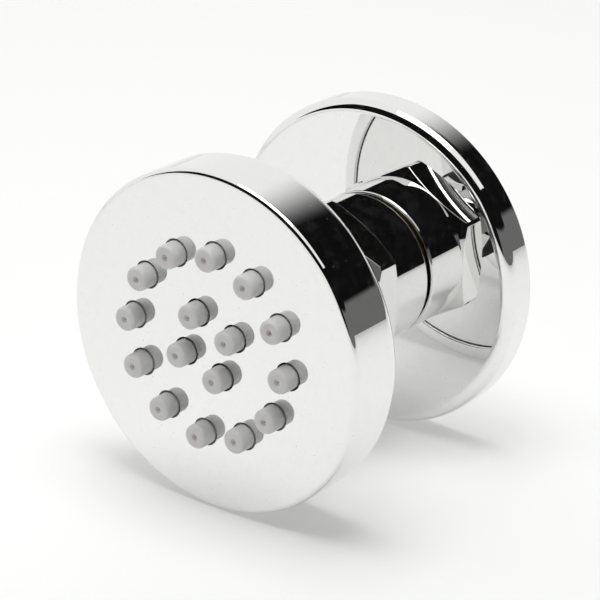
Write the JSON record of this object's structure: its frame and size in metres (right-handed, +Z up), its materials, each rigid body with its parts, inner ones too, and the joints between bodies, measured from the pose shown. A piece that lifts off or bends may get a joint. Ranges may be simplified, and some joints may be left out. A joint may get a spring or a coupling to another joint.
{
  "type": "shower body jet",
  "caption": "Round chrome shower body jet with soft grey nozzles, on a ball joint held by a hexagon nut, with a slip-on round wall flange.",
  "frame": {"origin": "On the jet's axis in the wall plane, at the mouth of the inlet thread.", "axes": "+Y goes into the wall along the inlet, the jet sprays towards -Y, +Z is up and +X is to the right seen from the front."},
  "size_m": [0.06, 0.0535, 0.06],
  "materials": {
    "chrome_plate": "polished chrome plating on turned brass",
    "grey_silicone": "matt grey silicone",
    "dark_abs": "moulded plastic",
    "stainless": "plain stainless steel",
    "black_rubber": "matt black rubber",
    "white_acetal": "smooth moulded plastic",
    "bare_brass": "unplated turned brass"
  },
  "bodies": {
    "wall_body": {"connector": "bare_brass", "swivel_nut": "chrome_plate", "ball_seat": "white_acetal", "ball_ring": "black_rubber", "flow_regulator": "white_acetal", "regulator_ring": "black_rubber", "filter_screen": "stainless", "inlet_washer": "black_rubber", "wall_flange": "chrome_plate", "flange_ring": "black_rubber"},
    "friction_ring": {"slip_ring": "white_acetal"},
    "head": {"face_shell": "chrome_plate", "nozzle_sheet": "grey_silicone", "jet_plate": "dark_abs", "plate_screws": "stainless", "rear_cover": "chrome_plate", "cover_ring": "black_rubber", "ball_stem": "chrome_plate", "stem_washer": "black_rubber"}
  },
  "joints": [
    {"name": "ball_turn", "type": "hinge", "parent": "wall_body", "child": "friction_ring", "pos_m": [0, -0.0183, 0], "axis": [0, 1, 0], "continuous": true},
    {"name": "ball_tilt", "type": "hinge", "parent": "friction_ring", "child": "head", "pos_m": [0, -0.0183, 0], "axis": [1, 0, 0], "range_deg": [-15, 15]}
  ]
}
